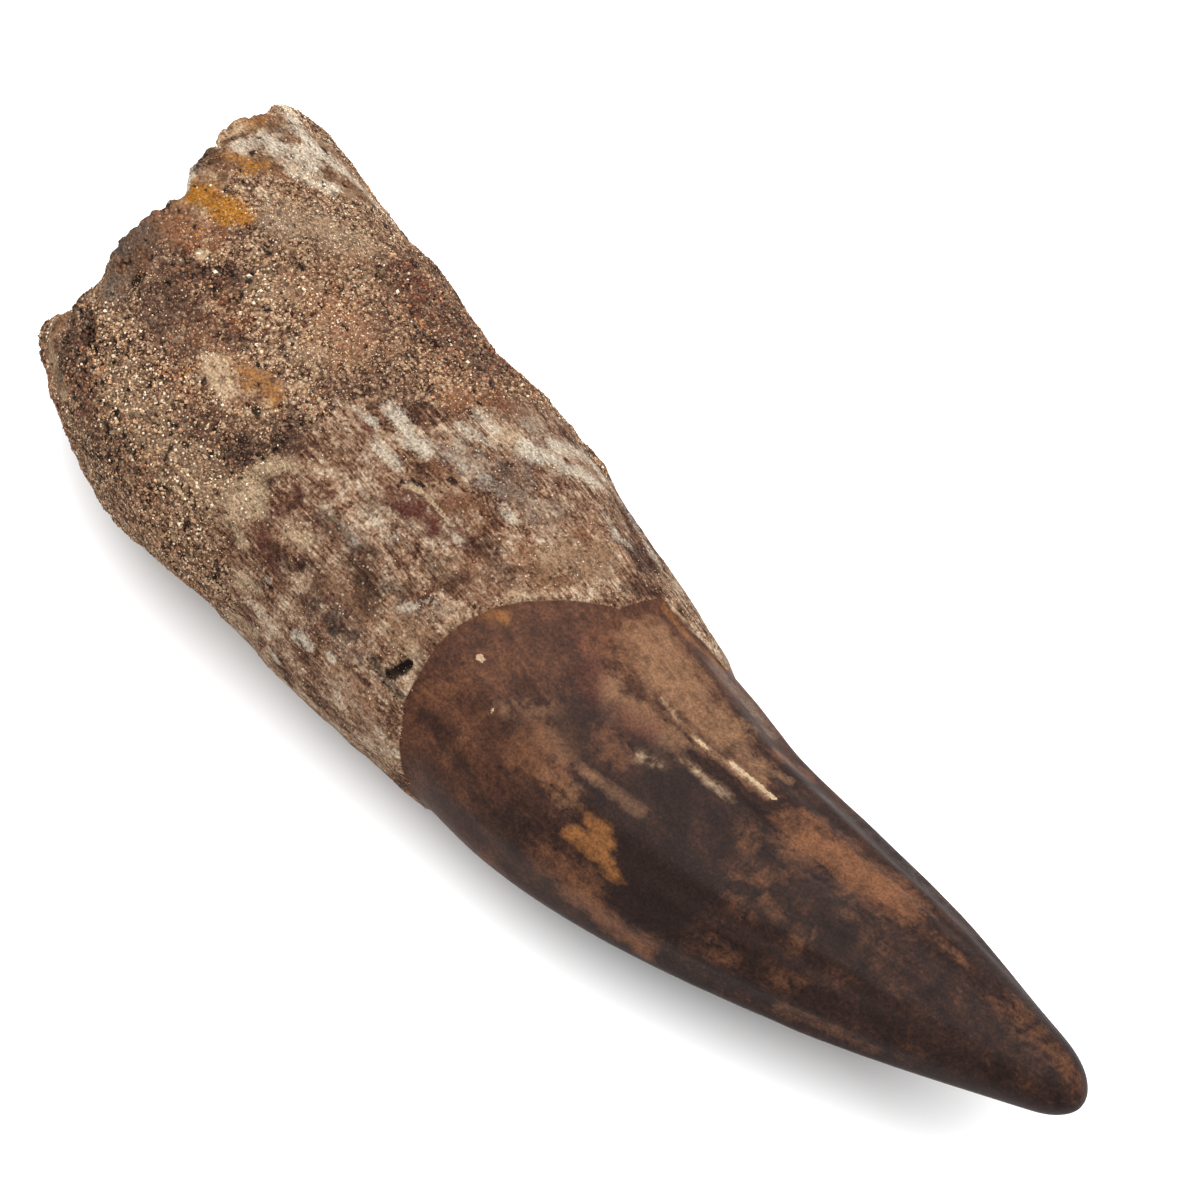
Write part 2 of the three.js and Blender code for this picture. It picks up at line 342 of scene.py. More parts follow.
at_end = along < END_LENGTH
broken_end = smooth_step(*END_TURN, end_facing) * at_end
end_core = smooth_step(*CORE_EDGE, np.hypot(across, above) / radius) * at_end
past_margin = along - border(ENAMEL_MARGIN)
sand_reach = border(SAND_BORDER) - along
sand_reach += SAND_WANDER * waves(skin_points, size=4.0, octaves=3, seed=1)
enamel = smooth_step(*ENAMEL_EDGE, past_margin)
sand = smooth_step(*SAND_EDGE, sand_reach)
bone = (1 - enamel) * (1 - sand)
print("share of points: enamel %.2f, sand %.2f, bone %.2f"
      % (enamel.mean(), sand.mean(), bone.mean()))

# %% [markdown]
# ## Small relief
# The crust is lumpy and full of pores, the bone has long shallow ridges, and the enamel is
# nearly smooth. These come from fractal noise. In some places the crust is worn bare, and in
# others its grains are coarser or finer, so these places are marked first. Pits, the chip and
# the crack are placed by the ruler. A brush stroke on the ruler's flat map, of millimetres
# along and round, gives the distance to each of them. All this could be sculpted by hand, but
# noise from fixed seeds gives the same tooth on every run.

# %% Distance from every point to a stroke
def stroke_distance(places):
    """The distance in mm from every point of the skin to a line through ruler places."""
    start = places[0][1]
    u = along
    v = np.radians(turned(around, start)) * radius
    spots = [(x, math.radians(turned(a, start)) * float(np.interp(x, ruler_along,
              ruler_values[:, 2:].mean(1)))) for x, a in places]
    if len(spots) == 1:
        spots = spots * 2
    nearest = np.full(len(u), np.inf)
    for (u0, v0), (u1, v1) in zip(spots, spots[1:]):
        du, dv = u1 - u0, v1 - v0
        t = ((u - u0) * du + (v - v0) * dv) / max(du * du + dv * dv, TINY)
        t = np.clip(t, 0, 1)
        nearest = np.minimum(nearest, np.hypot(u - u0 - t * du, v - v0 - t * dv))
    return nearest

# %% Where the crust is bare or coarse
BARE = [(5.5, [(5.0, 60), (9.0, 70), (8.5, 48), (11.0, 38)]), (3.0, [(10.5, 88), (12.0, 95)]),
        (3.5, [(12.5, 112), (14.0, 128)]), (2.4, [(23.5, 113), (27.0, 106)]),
        (2.0, [(12.5, 152), (13.3, 163), (15.0, 166), (16.7, 167)])]
COARSE = [(6.0, [(23.0, 51), (28.6, 45), (35.0, 43)]),
          (9.0, [(19.3, 141), (23.7, 137), (28.6, 140)]),
          (5.0, [(19.0, 92), (22.4, 84), (25.0, 81)]),
          (3.0, [(16.8, 103), (18.8, 94)])]
FINE = [(5.0, [(13.5, 74), (16.1, 59), (19.3, 50)]),
        (5.0, [(12.3, 117), (16.8, 113), (19.7, 110)]),
        (4.0, [(27.4, 95), (32.1, 82), (35.7, 68)]),
        (4.0, [(24.6, 77), (28.4, 75)])]
WANDER, FINE_WANDER = 0.5, 0.2
PATCH_EDGE, PATCH_CORE = 0.7, 0.3

wander = WANDER * waves(skin_points, size=1.6, octaves=3, seed=9)
wander += FINE_WANDER * waves(skin_points, size=0.6, octaves=2, seed=13)


def near(strokes):
    """1 beside any of these strokes, and 0 beyond a soft edge."""
    parts = [smooth_step(width * PATCH_EDGE, width * PATCH_CORE, stroke_distance(places) + wander)
             for width, places in strokes]
    return np.maximum.reduce(parts) * (1 - end_core)


bare = near(BARE)
coarse = near(COARSE)
fine = near(FINE)
print("bare share %.3f, coarse %.3f, fine %.3f" % (bare.mean(), coarse.mean(), fine.mean()))

# %% Pores between the grains
PORE_EDGE = (-0.42, -0.55)
COARSE_PORES, FINE_PORES = 0.12, 0.14

pore_noise = waves(skin_points, size=0.6, octaves=2, seed=12)
pores = smooth_step(*PORE_EDGE, pore_noise - COARSE_PORES * coarse + FINE_PORES * fine) * sand
print("pore share %.3f" % pores.mean())

# %% Pits, chip and crack: along, round, radius, depth
PITS = [
    (15.4, 120, 0.44, 0.5), (16.3, 142, 0.51, 0.5), (19.5, 150, 0.29, 0.35),
    (16.7, 145, 0.29, 0.3), (18.7, 100, 0.36, 0.3), (18.0, 95, 0.36, 0.3),
    (18.4, 102, 0.29, 0.25), (16.2, 125, 0.22, 0.25), (19.1, 118, 0.22, 0.2),
    (24.4, 136, 0.22, 0.25), (13.8, 120, 0.29, 0.3), (48.2, 140, 0.42, 0.5),
    (48.4, 138, 0.5, 0.5), (48.7, 135, 0.5, 0.5), (48.9, 132, 0.4, 0.5),
    (48.1, 15, 0.22, 0.2), (50.3, 15, 0.22, 0.25), (51.9, 20, 0.22, 0.2),
    (51.2, 28, 0.22, 0.2), (54.2, 43, 0.29, 0.25), (46.6, 24, 0.18, 0.15),
    (44.6, 19, 0.18, 0.15), (46.4, 48, 0.18, 0.15), (23.1, 31, 0.29, 0.25),
    (25.7, 20, 0.29, 0.25), (29.1, 22, 0.29, 0.25), (22.0, 40, 0.29, 0.25),
    (32.8, 32, 0.29, 0.25), (29.4, 48, 0.29, 0.2), (31.9, 48, 0.29, 0.2)]
CRACK = [(46.4, 139), (47.3, 141), (48.7, 142.5), (50.2, 143)]
CRACK_WIDTH, CRACK_DEPTH, CRACK_WANDER = 0.5, 0.3, 0.15
CHIP = [(38.2, 97), (38.2, 94), (39.2, 93), (41.6, 92), (44.1, 91)]
CHIP_WIDTH, CHIP_DEPTH = 0.5, 0.3
PIT_EDGE, PIT_CORE, PIT_FRAY = 1.5, 0.4, 0.1

pit_depth = np.zeros(len(along))
pit_edges = waves(skin_points, size=0.6, octaves=2, seed=3)
for x, a, size, depth in PITS:
    reach = stroke_distance([(x, a)]) + PIT_FRAY * pit_edges
    pit = depth * smooth_step(size * PIT_EDGE, size * PIT_CORE, reach)
    pit_depth = np.maximum(pit_depth, pit)
crack_distance = stroke_distance(CRACK)
crack_distance += CRACK_WANDER * waves(skin_points, size=1.2, octaves=2, seed=4)
chip_distance = stroke_distance(CHIP)
print(len(PITS), "pits, the deepest", round(pit_depth.max(), 2), "mm")

# %% Raise and sink the skin
FIBRE_STRETCH = 6
SAND_LUMPS, SAND_CRUMBS = 0.16, 0.10
BONE_RIDGES, BONE_LUMPS, BONE_CRUMBS = 0.09, 0.07, 0.04
ENAMEL_RIPPLES, ENAMEL_STEP = 0.02, 0.10
END_LUMPS, END_CRUMBS = 0.25, 0.2
PORE_DEPTH = 0.15
CRACK_ON_ENAMEL = 0.6

lengthwise = np.column_stack([along / FIBRE_STRETCH, across, above])
lumps = waves(skin_points, size=2.2, octaves=3, seed=5)
crumbs = waves(skin_points, size=0.8, octaves=2, seed=6)
ridges = waves(lengthwise, size=0.9, octaves=2, seed=7)
ripples = waves(lengthwise, size=2.5, octaves=2, seed=8)
relief = sand * (SAND_LUMPS * lumps + SAND_CRUMBS * crumbs)
relief += bone * (BONE_RIDGES * ridges + BONE_LUMPS * lumps + BONE_CRUMBS * crumbs)
relief += enamel * (ENAMEL_RIPPLES * ripples) - ENAMEL_STEP * enamel
relief += broken_end * (END_LUMPS * lumps + END_CRUMBS * crumbs)
relief -= pit_depth + PORE_DEPTH * pores
crack_here = smooth_step(CRACK_WIDTH, 0, crack_distance) * (1 - CRACK_ON_ENAMEL * enamel)
relief -= CRACK_DEPTH * crack_here
relief -= CHIP_DEPTH * smooth_step(CHIP_WIDTH, 0, chip_distance)
skin_points += relief[:, None] * skin_normals
skin_points[:, 2] = np.maximum(skin_points[:, 2], 0)
skin_mesh.vertices.foreach_set("co", (skin_points * MM).ravel().astype(np.float32))
skin_mesh.update()
skin_mesh.polygons.foreach_set("use_smooth", [True] * len(skin_mesh.polygons))
print("relief from", round(relief.min(), 2), "to", round(relief.max(), 2), "mm")

# %% [markdown]
# ## Painted stains, with a little painted light and shade
# Iron, manganese and lime stained the fossil in patches while it lay buried. Each stain is
# painted with brush strokes: a strength, a width in mm, and a line of ruler places. Where
# strokes of one colour overlap, the stronger wins. The far side isn't in the photograph, so its
# strokes are drawn at random, from a fixed seed, in the same sizes and colours. On the broken
# end the ruler's lines all meet, and strokes would make a star, so clouds of noise colour it.
# A stroke is only as sharp as the skin's mesh. So the few fine lines are kept as the distance
# to their own edge, which stays smooth, and the shader cuts them there.
# A few strokes paint light and shade instead: a rim highlight, a sheen, and shade in the crack.

# %% Strokes that the photograph shows
STROKES = {
    "white": [
        (0.22, 2.2, [(38.7, 77), (41.9, 76)]),
        (0.8, 1.1, [(4.5, 38), (6.8, 41), (8.4, 45), (9.9, 46), (10.3, 40)]),
        (0.6, 1.2, [(10.2, 41), (10.9, 34), (12.7, 30), (13.9, 25)]),
        (0.7, 1.2, [(8.7, 73), (8.5, 66), (8.6, 58)]),
        (0.7, 1.6, [(9.4, 61), (10.1, 53), (10.9, 52)]),
        (0.65, 1.0, [(11.2, 59), (12.1, 55), (12.4, 50)]),
        (0.7, 0.4, [(8.4, 90), (10.1, 95)]),
        (0.9, 0.8, [(33.0, 82), (34.6, 83), (36.3, 84), (37.3, 84)]),
        (0.5, 1.3, [(33.8, 82), (35.7, 84)]),
        (0.7, 0.4, [(32.1, 90), (33.4, 89)]),
        (0.6, 0.5, [(34.6, 93), (35.7, 93), (37.0, 92)]),
        (0.6, 0.9, [(37.1, 62), (38.5, 61)]),
        (0.45, 0.7, [(37.1, 69), (39.5, 65)]),
        (0.75, 1.2, [(40.6, 55), (42.3, 47), (43.4, 44), (44.7, 33)]),
        (0.7, 1.2, [(41.3, 42), (42.3, 25), (43.8, 20)]),
        (0.6, 0.5, [(44.0, 76), (45.2, 76)]),
        (0.5, 0.5, [(47.3, 40), (49.8, 45), (50.2, 38)]),
        # This thin white line along the upper rim is a painted highlight, not a stain.
        (0.45, 0.4, [(44.1, 17), (46.8, 20), (50.6, 22), (53.9, 19), (56.7, 15)]),
        (0.55, 0.4, [(35.2, 161), (36.8, 161)]),
        (0.85, 0.6, [(40.5, 155), (41.8, 154)]),
        (0.8, 0.4, [(43.7, 151), (43.9, 151)]),
        (0.6, 0.5, [(38.9, 173), (39.7, 176)]),
        (0.5, 0.3, [(35.6, 148), (36.1, 147)]),
        (0.35, 0.4, [(39.1, 117), (41.1, 107)]),
        (0.4, 0.7, [(45.4, 121), (46.3, 113)]),
        (0.8, 0.3, [(44.0, 94), (44.2, 94)]),
    ],
    "cream": [
        (0.7, 1.8, [(30.8, 128), (32.0, 132)]),
        (0.55, 1.0, [(30.7, 121), (32.2, 115)]),
        (0.6, 0.9, [(31.4, 139), (32.6, 144)]),
        (0.6, 1.0, [(34.1, 156), (35.6, 154)]),
        (0.65, 1.0, [(34.9, 130), (36.2, 128)]),
        (0.5, 0.9, [(34.1, 178), (37.3, 171)]),
        (0.6, 0.6, [(42.6, 180), (45.5, 185), (49.7, 177)]),
        (0.45, 0.7, [(48.3, 127), (50.0, 137)]),
        (0.3, 0.9, [(48.7, 112), (49.6, 102)]),
        (0.3, 0.7, [(49.7, 96), (50.8, 89)]),
        (0.25, 0.7, [(51.0, 87), (53.2, 73), (53.7, 65)]),
        (0.9, 0.4, [(22.1, 112), (23.7, 114), (25.2, 115)]),
        (0.8, 0.3, [(22.5, 110), (24.2, 111), (25.7, 112)]),
        (0.6, 0.4, [(23.3, 109), (24.9, 109)]),
        (0.45, 0.6, [(26.7, 109), (28.2, 109)]),
        (0.6, 0.9, [(7.7, 79), (7.2, 68)]),
        (1.0, 0.4, [(16.0, 99), (16.2, 98)]),
        (0.7, 1.2, [(38.8, 60), (40.1, 55)]),
        (0.3, 0.3, [(66.7, 71), (69.2, 67), (74.1, 66)]),
        (0.25, 0.4, [(67.5, 83), (69.2, 82), (71.9, 82)]),
        (0.22, 0.4, [(62.7, 71), (65.0, 70)]),
        (0.3, 0.5, [(65.6, 94), (66.7, 92)]),
        # This pale line along the carina at the crown's base is partly its own colour, partly a
        # painted highlight.
        (0.8, 0.4, [(55.8, 39), (58.9, 31), (61.2, 16)]),
        (0.3, 1.0, [(10.5, 165), (14.3, 166), (16.5, 172)]),
    ],
    "tan": [
        (0.5, 1.2, [(19.7, 80), (21.1, 77)]),
        (0.5, 2.9, [(25.9, 82), (27.9, 81)]),
        (0.4, 2.9, [(49.3, 87), (50.8, 56)]),
        (0.35, 1.5, [(47.0, 65), (48.0, 46)]),
        (0.5, 2.2, [(45.8, 126), (48.2, 123)]),
        (0.4, 1.9, [(40.2, 130), (44.6, 127)]),
        (0.45, 1.8, [(51.2, 81), (50.9, 65)]),
        (0.85, 3.8, [(58.7, 59), (63.3, 58)]),
        (0.8, 3.6, [(63.3, 58), (67.5, 56)]),
        (0.6, 2.0, [(67.5, 56), (72.1, 58)]),
        (0.7, 1.3, [(60.8, 86), (63.4, 82), (66.2, 81)]),
        (0.85, 1.0, [(59.7, 84), (61.6, 90)]),
        (0.6, 0.7, [(67.2, 70), (70.3, 66), (73.9, 66)]),
        (0.6, 0.5, [(67.3, 83), (69.2, 82), (72.0, 81)]),
        (0.5, 0.6, [(69.8, 53), (72.1, 51), (73.9, 48)]),
        (0.7, 0.5, [(63.5, 113), (65.7, 112), (68.3, 111)]),
        (0.5, 0.7, [(65.3, 95), (67.0, 91)]),
        (0.45, 1.0, [(61.8, 124), (64.3, 125)]),
        (0.5, 1.2, [(59.9, 111), (61.4, 113)]),
        (0.3, 1.0, [(56.4, 118), (59.1, 104)]),
        (0.75, 1.2, [(13.3, 145), (13.3, 163), (14.6, 173), (16.8, 173)]),
    ],
    "ochre": [
        (0.95, 1.6, [(11.1, 92), (12.5, 89), (14.0, 85)]),
        (0.6, 1.0, [(10.7, 76), (10.6, 67)]),
        (0.5, 0.7, [(9.4, 80), (10.0, 75)]),
        (0.4, 1.5, [(24.5, 107), (26.0, 106)]),
        (0.45, 1.0, [(26.2, 104), (28.3, 106)]),
        (0.35, 1.9, [(7.4, 74), (6.5, 59)]),
    ],
    "amber": [
        (0.95, 0.6, [(65.4, 138), (66.4, 135), (67.5, 135)]),
        (0.9, 0.6, [(66.1, 127), (67.1, 126), (68.0, 131)]),
        (0.95, 0.7, [(67.2, 132), (68.2, 136), (69.2, 141)]),
        (0.8, 0.6, [(66.4, 137), (67.7, 138)]),
        (0.85, 0.7, [(49.9, 101), (50.8, 99)]),
        (0.6, 0.4, [(55.8, 43), (59.9, 37), (62.2, 28)]),
    ],
    "rust": [
        (0.65, 1.9, [(11.9, 103), (14.3, 100)]),
        (0.55, 1.5, [(14.6, 98), (15.8, 94)]),
        (0.5, 1.3, [(20.0, 99), (21.6, 98)]),
        (0.55, 1.2, [(21.0, 110), (21.8, 108)]),
        (0.5, 0.7, [(14.0, 115), (15.2, 115)]),
        (0.6, 1.0, [(6.0, 57), (6.9, 53)]),
        (0.65, 1.2, [(35.7, 65), (36.6, 52), (37.9, 45)]),
        (0.8, 0.5, [(38.1, 85), (39.4, 85)]),
        (0.8, 0.5, [(40.3, 84), (41.0, 84)]),
        (0.55, 1.6, [(41.2, 89), (42.7, 85), (43.7, 87)]),
        (0.4, 0.7, [(48.4, 62), (48.9, 56)]),
        (0.4, 0.7, [(52.3, 57), (52.1, 50)]),
        (0.3, 3.6, [(22.3, 78), (20.7, 61)]),
        (0.65, 1.0, [(75.9, 73), (76.4, 66), (77.6, 58)]),
        (1.0, 1.8, [(78.2, 73), (80.5, 65), (82.6, 65), (84.8, 61)]),
        (0.7, 2.9, [(78.2, 73), (80.5, 65), (82.6, 65), (85.7, 61)]),
        (0.32, 0.9, [(74.3, 89), (75.4, 92)]),
        (0.25, 1.0, [(75.4, 108), (78.5, 97)]),
        (0.3, 0.9, [(78.5, 113), (79.5, 115)]),
        (0.28, 1.0, [(76.3, 120), (78.1, 121)]),
        (0.25, 1.8, [(76.0, 149), (78.0, 152)]),
        (0.25, 1.3, [(81.2, 148), (83.2, 143)]),
        (0.25, 1.0, [(82.1, 117), (81.9, 129)]),
        (0.2, 1.8, [(84.1, 93), (86.9, 101)]),
        (0.3, 0.6, [(88.9, 66), (91.7, 67)]),
        (0.28, 1.6, [(95.4, 70), (98.8, 72), (101.7, 76)]),
        (0.35, 1.0, [(82.9, 171), (86.6, 169), (89.2, 173)]),
        (0.95, 1.8, [(67.6, 161), (69.9, 168)]),
        (0.85, 1.6, [(69.9, 168), (72.4, 172)]),
        (0.45, 2.2, [(64.6, 155), (68.0, 154)]),
        (0.5, 1.9, [(59.2, 124), (61.1, 121)]),
        (0.5, 1.6, [(59.4, 115), (62.3, 122)]),
        (0.4, 1.3, [(62.5, 99), (64.8, 101)]),
        (0.6, 1.0, [(71.5, 37), (73.8, 29)]),
        (0.35, 1.9, [(56.0, 80), (59.0, 75)]),
        (0.3, 2.2, [(52.1, 131), (53.4, 109)]),
    ],
    "red": [
        (0.6, 0.7, [(33.6, 118), (33.5, 122), (33.4, 124)]),
        (0.65, 0.7, [(33.3, 127), (33.1, 131), (33.3, 135), (33.7, 138), (34.3, 140),
                     (35.1, 140), (35.9, 142)]),
        (0.4, 1.6, [(33.5, 125), (33.6, 135), (34.9, 140)]),
        (0.4, 1.2, [(35.7, 113), (35.5, 122), (36.9, 134)]),
        (0.75, 0.4, [(32.7, 91), (33.9, 92)]),
        (0.7, 1.6, [(38.5, 99), (40.3, 97), (42.0, 96)]),
        (0.45, 1.9, [(42.5, 95), (44.9, 92)]),
        (0.35, 1.8, [(20.9, 103), (22.8, 102)]),
        (0.35, 1.0, [(42.7, 57), (43.9, 51)]),
        (0.4, 0.7, [(53.8, 51), (54.8, 47)]),
        (0.35, 2.9, [(21.3, 43), (26.5, 47)]),
        (0.5, 1.3, [(61.7, 89), (64.5, 84)]),
        (0.35, 1.6, [(55.8, 82), (60.3, 91)]),
    ],
    "dark": [
        (0.4, 0.4, [(33.8, 120), (33.7, 124), (33.4, 129), (33.6, 134)]),
        (0.45, 0.6, [(34.5, 139), (35.7, 140), (36.9, 143)]),
        (0.45, 1.9, [(40.0, 122), (43.3, 126)]),
        (0.4, 1.6, [(44.0, 104), (46.9, 103)]),
        (0.35, 1.5, [(37.4, 106), (39.8, 107)]),
        (0.3, 1.8, [(49.3, 128), (49.3, 119)]),
        (0.45, 0.9, [(7.3, 57), (7.7, 52)]),
        (0.6, 1.2, [(8.9, 88), (8.6, 82)]),
        (0.6, 1.2, [(17.0, 103), (18.3, 93)]),
        (0.5, 0.7, [(15.3, 104), (16.8, 103)]),
        (0.35, 0.6, [(14.7, 93), (15.6, 82)]),
        (0.55, 1.0, [(21.6, 106), (22.9, 102)]),
        (0.3, 3.2, [(11.8, 114), (12.7, 129), (15.3, 127)]),
        (0.65, 1.5, [(15.6, 141), (15.9, 143)]),
        (0.55, 0.9, [(12.8, 140), (13.7, 144), (15.4, 153), (16.5, 164)]),
        (0.3, 1.8, [(17.6, 111), (19.3, 104)]),
        (0.55, 2.2, [(28.4, 123), (30.7, 123)]),
        (0.5, 1.5, [(29.5, 105), (30.6, 113)]),
        (0.35, 5.1, [(21.5, 25), (33.3, 33)]),
        (0.5, 1.9, [(13.8, 15), (22.0, 20)]),
        (0.5, 0.9, [(34.8, 138), (36.4, 139), (38.1, 131)]),
        (0.45, 0.6, [(40.2, 139), (41.5, 140)]),
        (0.6, 0.8, [(42.3, 141), (44.2, 138)]),
        (0.4, 1.6, [(35.8, 119), (38.5, 121)]),
        (0.45, 1.3, [(43.0, 119), (44.5, 116)]),
        (0.4, 1.8, [(39.7, 117), (40.8, 115)]),
        (0.45, 1.2, [(44.7, 93), (46.2, 87)]),
        (0.45, 1.2, [(47.2, 93), (48.4, 90)]),
        (0.45, 0.9, [(53.4, 57), (54.4, 46)]),
        (0.35, 1.0, [(46.4, 26), (50.0, 26), (52.8, 46)]),
        # This thin dark line along the crack is painted shade in it.
        (0.6, 0.4, [(46.6, 139), (47.7, 142), (50.0, 143)]),
        (0.6, 0.9, [(52.5, 143), (53.5, 142), (55.2, 143), (56.9, 146), (58.8, 152), (59.8, 153)]),
        (0.35, 1.0, [(54.0, 127), (54.7, 123)]),
        (0.6, 1.0, [(58.3, 122), (59.0, 113)]),
        (0.8, 1.9, [(60.0, 100), (61.4, 95)]),
        (0.7, 1.9, [(60.0, 108), (62.4, 105)]),
        (0.45, 2.2, [(61.3, 152), (63.4, 162)]),
        (0.75, 2.9, [(65.5, 97), (68.6, 90), (71.5, 88)]),
        (0.9, 3.2, [(68.3, 129), (72.0, 127), (74.5, 122)]),
        (1.0, 3.4, [(70.6, 142), (73.4, 138)]),
        (0.7, 1.9, [(76.1, 89), (77.7, 80)]),
        (0.5, 2.9, [(71.0, 116), (73.7, 105)]),
        (0.45, 3.6, [(80.3, 136), (83.0, 136)]),
        (0.4, 1.8, [(55.5, 162), (58.2, 171)]),
        (0.5, 2.2, [(79.8, 96), (82.5, 89)]),
        (0.6, 1.9, [(78.2, 132), (80.0, 127)]),
        (0.55, 2.5, [(83.0, 114), (84.9, 107)]),
        (0.5, 1.5, [(81.8, 137), (84.6, 139)]),
        (0.65, 1.8, [(87.1, 134), (91.4, 137), (95.3, 146)]),
        (0.5, 1.0, [(86.9, 190), (95.0, 184), (100.6, 161)]),
        (0.45, 0.5, [(56.1, 44), (60.1, 42), (63.0, 39)]),
        (0.7, 0.4, [(65.9, 130), (66.3, 130)]),
        (0.5, 2.2, [(65.7, 112), (68.3, 111)]),
        (0.4, 2.2, [(70.1, 94), (73.6, 94)]),
    ],
    "grey": [
        (0.4, 2.9, [(11.8, 114), (12.7, 129), (15.3, 127)]),
        (0.6, 1.6, [(39.0, 46), (40.7, 42), (41.3, 56)]),
        (0.55, 2.5, [(38.1, 79), (40.2, 75), (42.3, 72), (44.8, 69), (46.5, 62)]),
        (0.4, 1.8, [(42.0, 73), (42.8, 63)]),
        (0.4, 1.2, [(38.9, 118), (42.0, 107)]),
        (0.45, 1.5, [(45.3, 121), (47.6, 115)]),
        (0.4, 0.7, [(49.5, 90), (50.3, 87)]),
        (0.3, 2.6, [(14.2, 78), (15.8, 74)]),
        (0.3, 2.9, [(42.5, 142), (44.8, 142)]),
        (0.5, 0.9, [(62.0, 34), (66.1, 25), (69.3, 26)]),
    ],
    "umber": [
        (0.5, 2.8, [(40.1, 97), (43.2, 94)]),
        (0.6, 3.2, [(39.9, 136), (42.8, 133)]),
        (0.35, 2.2, [(46.7, 99), (48.9, 97)]),
        (0.5, 1.3, [(10.1, 78), (10.9, 72)]),
        (0.75, 4.4, [(12.6, 115), (16.0, 115), (20.0, 112)]),
        (0.65, 2.9, [(25.6, 128), (28.7, 123), (30.5, 111)]),
        (0.6, 4.4, [(23.3, 48), (29.6, 45), (35.9, 48)]),
        (0.65, 1.8, [(14.5, 148), (17.4, 153), (20.5, 157)]),
        (0.4, 2.2, [(29.6, 91), (34.0, 73)]),
        (0.4, 1.8, [(17.2, 104), (18.8, 94)]),
    ],
    "sienna": [
        (0.5, 1.8, [(47.5, 63), (49.1, 58)]),
        (0.4, 1.9, [(47.5, 81), (47.6, 71)]),
        (0.6, 2.8, [(24.6, 109), (27.4, 108)]),
        (0.6, 2.6, [(46.2, 98), (48.9, 95)]),
        (0.4, 2.9, [(44.6, 154), (48.1, 156)]),
        (0.65, 3.6, [(24.6, 77), (27.9, 76)]),
        (0.6, 1.8, [(13.2, 103), (15.0, 93)]),
        (0.5, 1.9, [(20.1, 106), (22.0, 108)]),
        (0.6, 1.6, [(34.6, 66), (37.2, 52)]),
        (0.45, 2.2, [(5.8, 56), (4.7, 41)]),
    ],
    "buff": [
        (0.65, 3.4, [(49.2, 71), (51.2, 60)]),
        (0.4, 2.2, [(47.1, 128), (48.4, 115)]),
        (0.65, 3.6, [(15.0, 70), (17.3, 59), (20.2, 53)]),
        (0.55, 4.4, [(21.1, 138), (24.6, 136), (29.2, 138)]),
        (0.5, 2.9, [(19.7, 88), (22.0, 80)]),
        (0.4, 2.2, [(25.8, 90), (27.0, 87)]),
    ],
    "ash": [
        # This grey band along the crown's upper edge is a painted sheen, not a stain.
        (0.35, 1.0, [(76.6, 34), (78.6, 26), (83.2, 22), (87.1, 23), (91.9, 20)]),
        (0.2, 1.5, [(80.4, 86), (83.1, 86)]),
    ],
}
print(sum(len(rows) for rows in STROKES.values()), "strokes seen in the photograph")

# %% Strokes for the far side: how many, width, and first and last place along
FAR_SIDE = (205, 350)
FAR_SEED = 12
FAR_PLAN = {
    "white": (9, 0.8, 5, 52), "cream": (14, 1.4, 8, 52), "tan": (12, 3.0, 6, 75),
    "ochre": (5, 1.6, 6, 50), "amber": (4, 1.4, 55, 88), "rust": (14, 1.9, 6, 95),
    "red": (5, 1.2, 24, 50), "umber": (8, 5.0, 8, 45), "sienna": (6, 4.0, 8, 48),
    "buff": (7, 4.5, 8, 48), "dark": (22, 3.0, 8, 96), "grey": (7, 2.8, 12, 50),
    "ash": (6, 3.0, 60, 92)}
FAR_LENGTH, FAR_LEAN = (1, 7), (-9, 9)
FAR_STRENGTH, FAR_WIDTH = (0.35, 0.9), (0.6, 1.5)

rng = np.random.default_rng(FAR_SEED)
for colour, (count, width, first, last) in FAR_PLAN.items():
    for _ in range(count):
        x, a = rng.uniform(first, last), rng.uniform(*FAR_SIDE)
        end = (x + rng.uniform(*FAR_LENGTH), a + rng.uniform(*FAR_LEAN))
        strength = rng.uniform(*FAR_STRENGTH)
        STROKES[colour].append((strength, width * rng.uniform(*FAR_WIDTH), [(x, a), end]))
print(sum(count for count, *_ in FAR_PLAN.values()), "strokes added on the far side")

# %% Painted masks: a stroke wanders and is soft at its edge, more so on the crown
STROKE_WANDER = 1.4
ROOT_WIDEN, ROOT_SOFT = 1.6, 0.3
CROWN_WIDEN, CROWN_SOFT = 1.9, 0.45
STROKE_CORE = 0.25

painted_marks = {}
for colour, strokes in STROKES.items():
    mask = np.zeros(len(along))
    for strength, width, places in strokes:
        half = width / 2
        first_along, first_angle = places[0]
        on_root = first_along < np.interp(first_angle, *zip(*ENAMEL_MARGIN))
        own_side = (1 - enamel) * (1 - end_core) if on_root else enamel
        away = stroke_distance(places) + wander * min(1, STROKE_WANDER * half)
        edge = CROWN_WIDEN * half + min(CROWN_SOFT, half)
        if on_root:
            edge = ROOT_WIDEN * half + ROOT_SOFT
        soft = strength * own_side * smooth_step(edge, STROKE_CORE * half, away)
        mask = np.maximum(mask, soft)
    painted_marks[colour] = mask
    print(f"{colour:6s} {len(strokes):3d} strokes cover {mask.mean() * 100:.1f}% of the skin")

# %% Clouds of colour inside the broken end
END_CLOUDS = {"umber": (0.7, 14), "buff": (0.6, 15), "rust": (0.45, 16), "grey": (0.5, 17)}
END_CLOUD_SIZE = 4.5
CLOUD_EDGE = (0.02, 0.35)

for colour, (strength, seed) in END_CLOUDS.items():
    clouds = smooth_step(*CLOUD_EDGE, waves(skin_points, END_CLOUD_SIZE, 3, seed))
    painted_marks[colour] = np.maximum(painted_marks[colour], strength * end_core * clouds)
    print("clouds of", colour, "cover", int((clouds * end_core > 0.5).sum()), "points")

